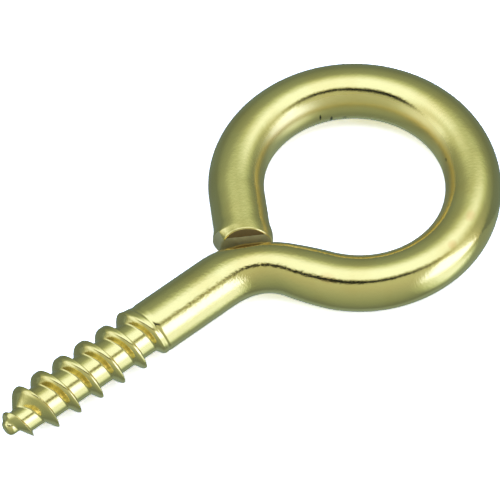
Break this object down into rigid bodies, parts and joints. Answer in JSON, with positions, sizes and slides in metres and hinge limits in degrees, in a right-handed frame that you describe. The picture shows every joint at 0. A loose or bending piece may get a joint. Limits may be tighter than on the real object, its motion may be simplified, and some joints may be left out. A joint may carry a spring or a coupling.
{
  "type": "screw eye",
  "caption": "Screw eye bent from one bright wire: a closed round ring whose cut end meets a squeezed neck, a plain round shank and a coarse wood-screw thread.",
  "frame": {"origin": "the middle of the ring, on the wire's middle plane", "axes": "+X from the tip along the shank towards the ring, +Z square to the ring"},
  "size_m": [0.0419, 0.0209, 0.004],
  "materials": {
    "brass": "bright greenish gold, smooth, lightly marked"
  },
  "bodies": {
    "root": {"screw_eye": "brass"}
  },
  "joints": []
}
